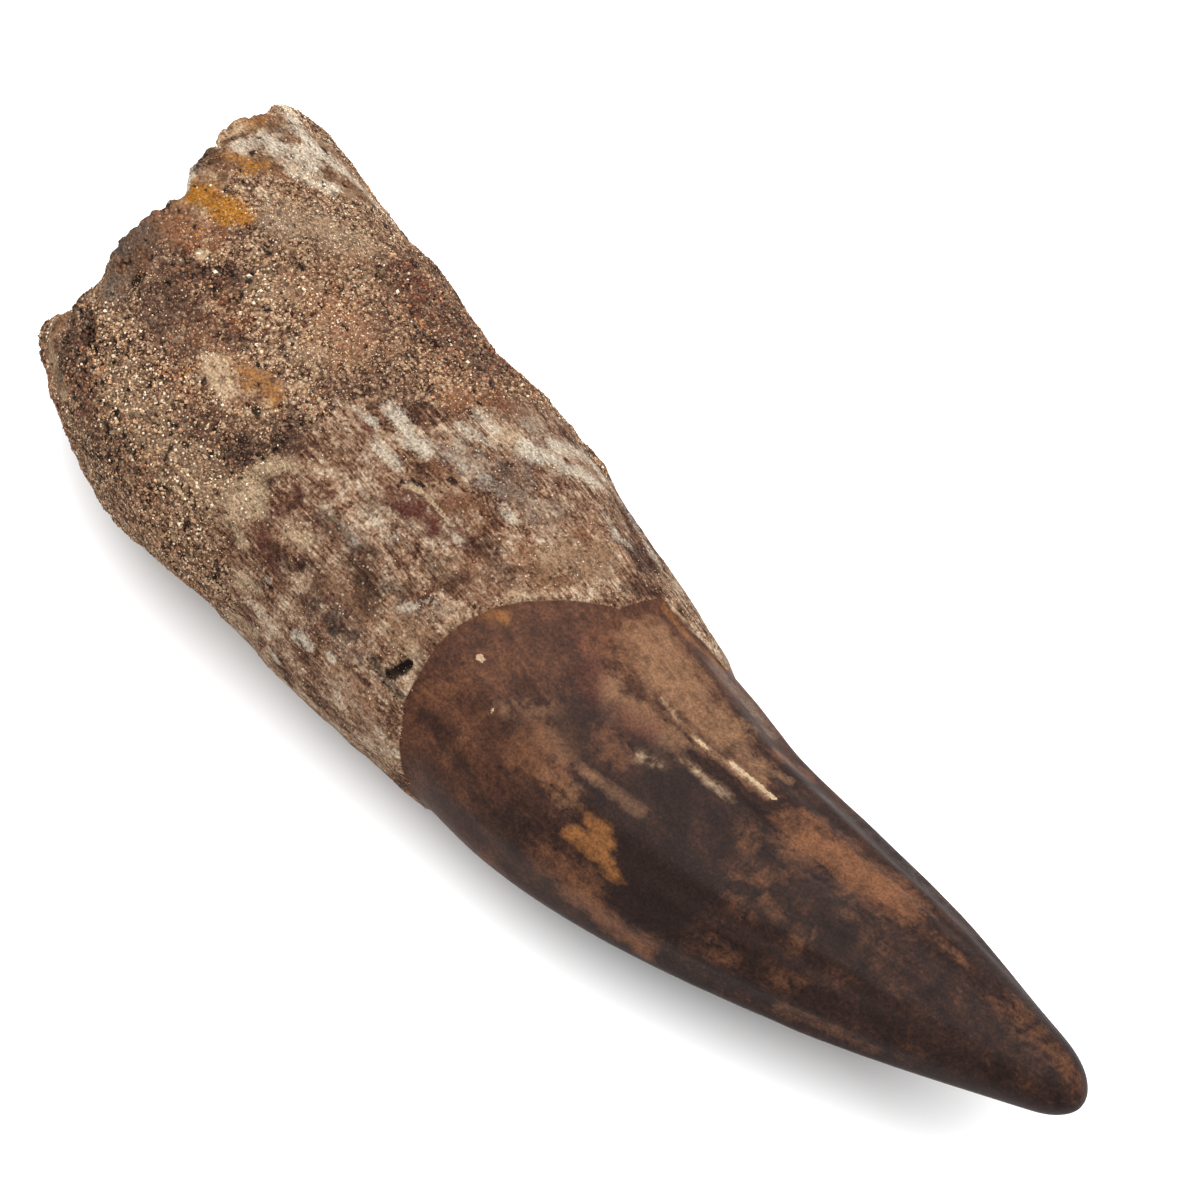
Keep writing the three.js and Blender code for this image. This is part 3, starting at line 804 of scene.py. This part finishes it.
# %% Fine lines: half width in mm, and ruler places
FINE_LINES = {
    # The first three dark lines, along the chip, the crack and the long pit, are painted shade in
    # those hollows.
    "dark": [(0.13, [(38.1, 96.6), (38.0, 94.8), (38.1, 93.2), (38.6, 92.2), (39.5, 91.3)]),
             (0.08, [(46.1, 140.0), (47.5, 142.5), (49.0, 144.1), (50.2, 144.6)]),
             (0.33, [(48.5, 135.9), (48.8, 132.1)]),
             (0.20, [(40.2, 84.4), (40.8, 84.2)]),
             (0.16, [(35.5, 149.3), (36.5, 148.5)])],
    "cream": [(0.24, [(38.4, 96.0), (38.6, 93.7), (39.4, 92.9)]),
              (0.14, [(39.4, 92.9), (41.2, 92.5), (43.0, 92.6)]),
              (0.15, [(69.9, 66.4), (71.0, 65.6), (72.5, 65.0), (74.3, 65.2)]),
              (0.24, [(52.1, 113.3), (52.5, 112.9)]),
              (0.16, [(55.7, 121.8), (55.9, 121.8)]),
              (0.16, [(44.0, 94.4), (44.2, 93.6)]),
              (0.14, [(67.0, 70.5), (68.0, 69.2)]),
              (0.18, [(43.7, 150.9), (43.9, 150.6)])]}

line_reach = {}
for colour, lines in FINE_LINES.items():
    line_reach[colour] = np.minimum.reduce(
        [stroke_distance(places) - half for half, places in lines])
    print(colour, "lines touch", int((line_reach[colour] < 0).sum()), "points")

# %% Keep the measures on the skin for the shader
FULL_PIT = 0.4
PORE_DARKNESS = 0.85
SAND_KEPT, CRACK_KEPT, LINE_KEPT = 5, 3, 2


def keep(name, values):
    layer = skin_mesh.attributes.new(name, "FLOAT", "POINT")
    layer.data.foreach_set("value", values.astype(np.float32))


keep("past_margin", past_margin)
keep("sand_reach", np.clip(sand_reach, -SAND_KEPT, SAND_KEPT))
# The hollow field marks pits and pores, where painted shade goes later.
keep("hollow", np.maximum(np.clip(pit_depth / FULL_PIT, 0, 1), PORE_DARKNESS * pores))
keep("crack", np.clip(crack_distance, 0, CRACK_KEPT))
keep("bare", bare * (1 - enamel))
for colour, reach in line_reach.items():
    keep("line_" + colour, np.clip(reach, -LINE_KEPT, LINE_KEPT))
for colour, mask in painted_marks.items():
    keep("mark_" + colour, mask)
fibre = skin_mesh.attributes.new("fibre", "FLOAT_VECTOR", "POINT")
fibre.data.foreach_set("vector", lengthwise.astype(np.float32).ravel())
print("kept on the skin:", len(skin_mesh.attributes), "fields")

# %% [markdown]
# ## One surface, three finishes
# The solid is one piece, so it has one material, and the borders choose between three finishes
# inside it. Sand is a crowd of small cells, each with a tone of its own, with painted shade in
# the gaps between them. Bone is noise that is stretched along the tooth. Enamel is a soft
# mottling of browns. Then each painted stain, and the few strokes of painted light and shade, is
# laid over them, with its edge broken up by noise of the grain's size, and last come the fine
# lines, the grit, a few specks on the bone, and painted shade in pits, pores and the crack. An
# image could hold all of this, but patterns made of noise stay sharp close up and need no picture.

# %% Values in a node tree
PLAIN_BROWN, PLAIN_ROUGHNESS = "6a4c3a", 0.6

surface, tree, shader = new_material("fossil_tooth_surface", paint(PLAIN_BROWN), PLAIN_ROUGHNESS)
place = wire(tree, "ShaderNodeTexCoord").outputs["Object"]
along_fibres = wire(tree, "ShaderNodeAttribute", attribute_name="fibre").outputs["Vector"]


def field(name):
    """A value that the skin keeps at its points."""
    return wire(tree, "ShaderNodeAttribute", attribute_name=name).outputs["Fac"]


def maths(operation, a, b):
    return wire(tree, "ShaderNodeMath", {0: a, 1: b}, operation=operation).outputs[0]


def total(*parts):
    """Adds up values; a pair is a value and its weight."""
    first, *others = [maths("MULTIPLY", *part) if isinstance(part, tuple) else part
                      for part in parts]
    for part in others:
        first = maths("ADD", first, part)
    return first


def between(value, low, high, to_low=0.0, to_high=1.0):
    """Maps low to high onto to_low to to_high, and holds the ends."""
    return wire(tree, "ShaderNodeMapRange", {"Value": value, "From Min": low, "From Max": high,
                "To Min": to_low, "To Max": to_high}).outputs["Result"]


def swing(pattern, reach, spread=0.2):
    """Turns noise that lies round 0.5 into a push from minus to plus a reach."""
    return between(pattern, 0.5 - spread, 0.5 + spread, -reach, reach)


def level(share, a, b):
    """A value that goes from a to b as the share goes from 0 to 1."""
    return wire(tree, "ShaderNodeMix", {0: share, 2: a, 3: b}).outputs[0]

# %% Noise and colours in a node tree
def noise_at(where, size, detail=3.0, unit=MM, rough=0.5):
    """Noise with lumps of a size in mm, at places in metres, or in mm where unit is 1."""
    return wire(tree, "ShaderNodeTexNoise", {"Vector": where, "Scale": 1 / (size * unit),
                "Detail": detail, "Roughness": rough}).outputs["Fac"]


def times(colour, factor):
    return wire(tree, "ShaderNodeVectorMath", {0: colour, "Scale": factor},
                operation="SCALE").outputs[0]


def swirled(where, size, reach, unit=MM):
    """The same places, pushed about by slow noise, so that patterns curl instead of lining up."""
    push = wire(tree, "ShaderNodeTexNoise", {"Vector": where, "Scale": 1 / (size * unit),
                "Detail": 2.0}).outputs["Color"]
    push = wire(tree, "ShaderNodeVectorMath", {0: push, 1: (0.5, 0.5, 0.5)},
                operation="SUBTRACT").outputs[0]
    push = times(push, reach * unit)
    return wire(tree, "ShaderNodeVectorMath", {0: where, 1: push}, operation="ADD").outputs[0]


def cells_at(where, size):
    """Small cells: how far each place is from its cell's middle, and the cell's own tones."""
    made = wire(tree, "ShaderNodeTexVoronoi", {"Vector": where, "Scale": 1 / (size * MM)})
    tones = wire(tree, "ShaderNodeSeparateColor", {"Color": made.outputs["Color"]})
    return made.outputs["Distance"], tones.outputs


def mix(share, a, b):
    """A colour that goes from a to b as the share goes from 0 to 1."""
    return wire(tree, "ShaderNodeMix", {0: share, 6: a, 7: b}, data_type="RGBA").outputs[2]


def ladder(value, *steps):
    """A colour ramp through (position, screen colour) steps."""
    made = wire(tree, "ShaderNodeValToRGB", {"Fac": value})
    ramp = made.color_ramp
    for position, code in steps[2:]:
        ramp.elements.new(position)
    for stop, (position, code) in zip(ramp.elements, sorted(steps)):
        stop.position = position
        stop.color = paint(code)
    return made.outputs["Color"]

# %% Patterns that the finishes share
curl = swirled(place, size=3.0, reach=3.0)
curled_fibres = swirled(along_fibres, size=2.5, reach=1.6, unit=1)
from_grain, grain_tones = cells_at(place, size=0.28)
tone = grain_tones[0]
fine_tone = noise_at(place, size=0.26, detail=2.0)
drift = noise_at(place, size=6.0)
marbling = noise_at(curl, size=1.3, detail=8.0, rough=0.65)
print("nodes for shared patterns:", len(tree.nodes))

# %% Sand: grains of many tones, with painted shade in the gaps between them
SAND_DRIFT = 0.12
GAP_FROM, GAP_TO = 0.35, 0.75
GRAIN_MIDDLE_LIT, GAP_SHADE = 1.1, 0.45

sand_value = total((tone, 0.5), (fine_tone, 0.5), swing(drift, SAND_DRIFT))
sand_colour = ladder(sand_value, (0.25, "3a291e"), (0.42, "6f5140"), (0.55, "98755a"),
                     (0.68, "bb9675"), (0.85, "dec2a0"))
# Each cell gets painted light in its middle and painted shade in the gaps between grains.
sand_colour = times(sand_colour, between(from_grain, GAP_FROM, GAP_TO, GRAIN_MIDDLE_LIT, GAP_SHADE))
print("with sand:", len(tree.nodes), "nodes")

# %% Bare patches in the sand
BARE_FRAY = 0.2
BARE_EDGE = (0.4, 0.6)

bare_value = total((marbling, 0.8), (fine_tone, 0.2))
bare_colour = ladder(bare_value, (0.34, "52392a"), (0.44, "7f5c43"), (0.52, "a27e60"),
                     (0.6, "c1a689"), (0.72, "dbc9b0"))
is_bare = between(total(field("bare"), swing(fine_tone, BARE_FRAY)), *BARE_EDGE)
sand_colour = mix(is_bare, sand_colour, bare_colour)
print("with bare patches:", len(tree.nodes), "nodes")

# %% Bone: wide and narrow fibres, patches and crumbs
BONE_PATCHES = 0.15
BONE_DARKER = 0.2

fibre_wide = noise_at(curled_fibres, size=0.55, detail=6.0, unit=1, rough=0.7)
fibre_fine = noise_at(curled_fibres, size=0.22, detail=4.0, unit=1, rough=0.6)
crumb_value = noise_at(place, size=0.22, detail=3.0, rough=0.7)
bone_patches = swing(noise_at(curl, size=3.2, detail=5.0, rough=0.6), BONE_PATCHES)
bone_value = total(bone_patches, (fibre_wide, 0.45), (fibre_fine, 0.5), (crumb_value, 0.35),
                   (tone, 0.1), -BONE_DARKER)
bone_colour = ladder(bone_value, (0.3, "3a261d"), (0.42, "6f4c39"), (0.5, "9a755b"),
                     (0.58, "bb9a7e"), (0.7, "dfcaaf"))
print("with bone:", len(tree.nodes), "nodes")

# %% Enamel: warm brown near its margin, nearly black further down the crown
DARKER_FROM, DARKER_TO, DARKER_WANDER = 4.0, 16.0, 4.0

mottle = noise_at(curl, size=2.4, detail=6.0, rough=0.6)
mottle_fine = noise_at(place, size=0.36, detail=4.0, rough=0.7)
streaks = noise_at(along_fibres, size=0.5, detail=4.0, unit=1, rough=0.6)
enamel_value = total((mottle, 0.42), (mottle_fine, 0.38), (streaks, 0.2))
near_colour = ladder(enamel_value, (0.36, "321d17"), (0.46, "4c3024"), (0.54, "603d2c"),
                     (0.64, "785037"))
far_colour = ladder(enamel_value, (0.36, "1a1110"), (0.46, "2c1c18"), (0.54, "3c271f"),
                    (0.64, "5a3a2b"))
down_crown = total(field("past_margin"), swing(drift, DARKER_WANDER))
enamel_colour = mix(between(down_crown, DARKER_FROM, DARKER_TO), near_colour, far_colour)
print("with enamel:", len(tree.nodes), "nodes")

# %% Cut the three finishes at their borders
SAND_FRAY = 0.5
SAND_CUT = (-0.25, 0.25)
ENAMEL_CUT = (-0.04, 0.06)

on_sand = between(total(field("sand_reach"), swing(fine_tone, SAND_FRAY)), *SAND_CUT)
on_enamel = between(field("past_margin"), *ENAMEL_CUT)
colour = mix(on_enamel, mix(on_sand, bone_colour, sand_colour), enamel_colour)

# %% Lay the stains, and the strokes of painted light and shade, over
MARK_COLOURS = {
    "buff": "ae9174", "sienna": "a27356", "umber": "654a3c", "ash": "5f524c", "grey": "8d7a6c",
    "tan": "9a7153", "red": "602f27", "dark": "2a1d1a", "rust": "885a3e", "amber": "9a6539",
    "ochre": "b27422", "cream": "d4b693", "white": "e4d4bd"}
MARK_COVER, FULL_MARK = 0.88, 0.25
ROOT_CUT, CROWN_CUT = (0.12, 0.85), (0.05, 1.0)

root_edges = total(swing(marbling, 0.45), swing(crumb_value, 0.35, spread=0.25))
crown_edges = total(swing(noise_at(curl, size=0.9, detail=6.0, rough=0.65), 0.38),
                    swing(streaks, 0.15))
for name, code in MARK_COLOURS.items():
    painted = field("mark_" + name)
    cover = level(on_enamel, between(total(painted, root_edges), *ROOT_CUT),
                  between(total(painted, crown_edges), *CROWN_CUT))
    cover = maths("MULTIPLY", cover, between(painted, 0.0, FULL_MARK, 0.0, MARK_COVER))
    colour = mix(cover, colour, paint(code))
print(len(MARK_COLOURS), "stains laid")

# %% Cut the fine lines in sharply
# Three of the dark lines are painted shade along the chip, the crack and a pit.
LINE_COLOURS = {"cream": "cdb08d", "dark": "1f1512"}
LINE_FRAY = 0.09
LINE_EDGE = 0.03
LINE_COVER = 0.9

for name, code in LINE_COLOURS.items():
    frayed = total(field("line_" + name), swing(crumb_value, LINE_FRAY))
    cut = between(frayed, LINE_EDGE, -LINE_EDGE, 0.0, LINE_COVER)
    colour = mix(cut, colour, paint(code))

# %% Grit over everything
GRIT_SIZE = 0.2
ROOT_GRIT, ENAMEL_GRIT = (0.45, 1.25), (0.68, 1.32)
TONE_GRIT = 0.3

grit_noise = noise_at(place, GRIT_SIZE, detail=2.0)
root_grit = total(between(grit_noise, 0.32, 0.68, *ROOT_GRIT), (tone, TONE_GRIT))
enamel_grit = between(grit_noise, 0.3, 0.7, *ENAMEL_GRIT)
colour = times(colour, level(on_enamel, root_grit, enamel_grit))

# %% Specks on the root: colour, where a cell's tone starts and is full, and cover
SPECK_SIZE = 0.3
SPECK_EDGE = (0.34, 0.22)
SPECKS = [("dccbb2", 0.9, 0.92, 0.75), ("3a261e", 0.14, 0.12, 0.7)]

from_speck, speck_tones = cells_at(place, SPECK_SIZE)
speck_core = maths("MULTIPLY", between(from_speck, *SPECK_EDGE),
                   maths("SUBTRACT", 1.0, on_enamel))
for code, start, full, strength in SPECKS:
    speck = between(speck_tones[1], start, full, 0.0, strength)
    colour = mix(maths("MULTIPLY", speck_core, speck), colour, paint(code))

# %% Painted shade in pits, pores and the crack
HOLLOW_SHADE, HOLLOW_SHADE_COVER = "1d1512", 0.9
HOLLOW_SHADE_RANGE = (0.3, 0.65)
CRACK_EDGE, CRACK_CORE, CRACK_SHADE = 0.5, 0.1, 0.3

# Pits, pores and the crack are drawn towards a near-black brown: painted shade in these hollows.
shade_in_hollows = maths("MAXIMUM", between(field("hollow"), *HOLLOW_SHADE_RANGE),
             between(field("crack"), CRACK_EDGE, CRACK_CORE, 0.0, CRACK_SHADE))
colour = mix(maths("MULTIPLY", shade_in_hollows, HOLLOW_SHADE_COVER), colour, paint(HOLLOW_SHADE))
tree.links.new(colour, shader.inputs["Base Color"])

# %% Gloss and fine bump
ROOT_ROUGHNESS, ENAMEL_ROUGHNESS = 0.85, (0.5, 0.62)
SURFACE_GLOSS = 0.08
GRAIN_BUMP = 0.1
FIBRE_BUMP, CRUMB_BUMP = 0.06, 0.05
ENAMEL_BUMP = 0.02

enamel_rough = between(mottle_fine, 0.3, 0.7, *ENAMEL_ROUGHNESS)
tree.links.new(level(on_enamel, ROOT_ROUGHNESS, enamel_rough), shader.inputs["Roughness"])
shader.inputs["Specular IOR Level"].default_value = SURFACE_GLOSS
grain_height = between(from_grain, 0.0, 0.8, GRAIN_BUMP, -GRAIN_BUMP)
bone_height = total(swing(fibre_fine, FIBRE_BUMP), swing(crumb_value, CRUMB_BUMP))
height = level(on_enamel, level(on_sand, bone_height, grain_height),
               maths("MULTIPLY", mottle_fine, ENAMEL_BUMP))
bump = wire(tree, "ShaderNodeBump", {"Strength": 1.0, "Distance": MM, "Height": height})
tree.links.new(bump.outputs["Normal"], shader.inputs["Normal"])
print("with bump:", len(tree.nodes), "nodes")

# %% Put the surface on the tooth
skin_mesh.materials.clear()
skin_mesh.materials.append(surface)
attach(tooth, "root")
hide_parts("spinosaurus_tooth")
print(tooth.name, "replaces the solid")

# %% [markdown]
# ## Loose grains in the crust
# Bump alone leaves a sandy edge smooth in outline. So real grains are stuck on: each is a tiny
# eight-sided crystal, squashed and turned at random, half sunk in the skin. They're sorted into
# pieces by tone, so that each piece has one plain colour. The mix of tones follows the stains.

# %% Spread places over the skin by area
GRAIN_SEED = 7
SAND_PER_MM2 = 30
BONE_PER_MM2 = 4
BARE_CLEARED, PORES_CLEARED = 0.97, 0.8
FINER_MORE = 0.15

skin_mesh.calc_loop_triangles()
corners = np.empty(len(skin_mesh.loop_triangles) * 3, np.int32)
skin_mesh.loop_triangles.foreach_get("vertices", corners)
corners = corners.reshape(-1, 3)
a, b, c = (skin_points[corners[:, i]] for i in range(3))
face_area = np.linalg.norm(np.cross(b - a, c - a), axis=1) / 2
wanted = SAND_PER_MM2 * sand * (1 - enamel) * (1 - BARE_CLEARED * bare) + BONE_PER_MM2 * bone
wanted *= (1 - PORES_CLEARED * pores) * (1 - FINER_MORE * coarse + FINER_MORE * fine)
per_face = face_area * wanted[corners].mean(1)
rng = np.random.default_rng(GRAIN_SEED)
count = int(per_face.sum())
chosen = rng.choice(len(per_face), count, p=per_face / per_face.sum())
share = rng.dirichlet((1, 1, 1), count)


def at_grains(values):
    """Values kept at the skin's points, read at every grain."""
    parts = values[corners[chosen]]
    return (parts * (share if parts.ndim == 2 else share[:, :, None])).sum(1)


grain_places = at_grains(skin_points)
grain_normals = at_grains(skin_normals)
print(count, "grains over", round(float(face_area.sum())), "square mm")

# %% Choose each grain's tone from the stains under it
TONES = {"dark": "33231a", "umber": "5b4334", "brown": "7f614b", "khaki": "9c7b5e",
         "tan": "ba9673", "pale": "d9c8ae", "ochre": "ae782e", "rust": "965f3e", "red": "6d4031"}
SPARKLE_SHARE = 0.007
SAND_MEAN, BONE_MEAN = "8f6c4f", "947258"
CLOUD_SWING, HUE_SWING = 0.2, np.array((0.10, 0.0, -0.20))
TONE_SPREAD, HUE_SPREAD = 0.31, 0.03


ground = np.where(sand[:, None] > 0.5, screen(SAND_MEAN), screen(BONE_MEAN))
for name, code in MARK_COLOURS.items():
    ground = ground + painted_marks[name][:, None] * (screen(code) - ground)
ground *= 1 + CLOUD_SWING * waves(skin_points, size=9.0, octaves=2, seed=10)[:, None]
ground *= 1 + waves(skin_points, size=5.0, octaves=2, seed=11)[:, None] * HUE_SWING
grain_colour = at_grains(ground) * np.exp(TONE_SPREAD * rng.standard_normal((count, 1)))
sparkle = rng.random(count) < SPARKLE_SHARE
grain_colour[sparkle] = screen(TONES["pale"])
grain_colour += HUE_SPREAD * rng.standard_normal((count, 3))
tone_values = np.array([screen(code) for code in TONES.values()])
tone_of = ((grain_colour[:, None] - tone_values[None]) ** 2).sum(2).argmin(1)
for i, name in enumerate(TONES):
    print(f"{name:6s} {int((tone_of == i).sum())} grains")

# %% One crystal
crystal_bm = bmesh.new()
bmesh.ops.create_uvsphere(crystal_bm, u_segments=4, v_segments=2, radius=1)
bmesh.ops.recalc_face_normals(crystal_bm, faces=crystal_bm.faces)
crystal = np.array([v.co for v in crystal_bm.verts])
crystal_faces = np.array([[v.index for v in f.verts] for f in crystal_bm.faces])
crystal_bm.free()
print("one grain:", len(crystal), "points,", len(crystal_faces), "faces")

# %% Turn, squash and place every crystal
GRAIN_RADIUS, RADIUS_SPREAD = 0.083, 0.3
RADIUS_RANGE = (0.045, 0.22)
BONE_GRAIN = 0.65
COARSER, FINER = 0.3, 0.25
SQUASH = (0.65, 1.15)
SUNK, COARSE_LIFT = 0.2, 0.3

turns = rng.standard_normal((count, 4))
turns /= np.linalg.norm(turns, axis=1)[:, None]
w, x, y, z = turns.T
spin = np.array([[1 - 2 * (y * y + z * z), 2 * (x * y - w * z), 2 * (x * z + w * y)],
                 [2 * (x * y + w * z), 1 - 2 * (x * x + z * z), 2 * (y * z - w * x)],
                 [2 * (x * z - w * y), 2 * (y * z + w * x), 1 - 2 * (x * x + y * y)]])
spin = spin.transpose(2, 0, 1)
grain_size = GRAIN_RADIUS * np.exp(RADIUS_SPREAD * rng.standard_normal(count))
grain_size = np.clip(grain_size, *RADIUS_RANGE)
grain_size *= BONE_GRAIN + (1 - BONE_GRAIN) * at_grains(sand)
grain_size *= at_grains(1 + COARSER * coarse - FINER * fine)
squash = rng.uniform(*SQUASH, (count, 3)) * grain_size[:, None]
lift = (COARSE_LIFT * at_grains(coarse) - SUNK) * grain_size
grain_places += grain_normals * lift[:, None]
grain_places[:, 2] = np.maximum(grain_places[:, 2], grain_size)
grain_corners = np.einsum("nij,nkj->nki", spin, crystal[None] * squash[:, None])
grain_corners += grain_places[:, None]
print("grains from %.2f to %.2f mm across" % (2 * grain_size.min(), 2 * grain_size.max()))

# %% One joined mesh for each tone
GRAIN_GAIN = 1.7
GRAIN_ROUGHNESS, GRAIN_GLOSS = 0.8, 0.12

for i, (name, code) in enumerate(TONES.items()):
    mine = np.flatnonzero(tone_of == i)
    faces = (crystal_faces[None] + len(crystal) * np.arange(len(mine))[:, None, None])
    grain_mesh = bpy.data.meshes.new("sand_grains_" + name)
    grain_mesh.from_pydata((grain_corners[mine].reshape(-1, 3) * MM).tolist(), [],
                           faces.reshape(-1, 3).tolist())
    colour = [min(1, value * GRAIN_GAIN) for value in paint(code)]
    material, _, grain_shader = new_material("grain_" + name, colour, GRAIN_ROUGHNESS)
    grain_shader.inputs["Specular IOR Level"].default_value = GRAIN_GLOSS
    grain_mesh.materials.append(material)
    grains = bpy.data.objects.new("sand_grains_" + name, grain_mesh)
    bpy.context.scene.collection.objects.link(grains)
    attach(grains, "root")
    print(grains.name, len(grain_mesh.polygons), "triangles")
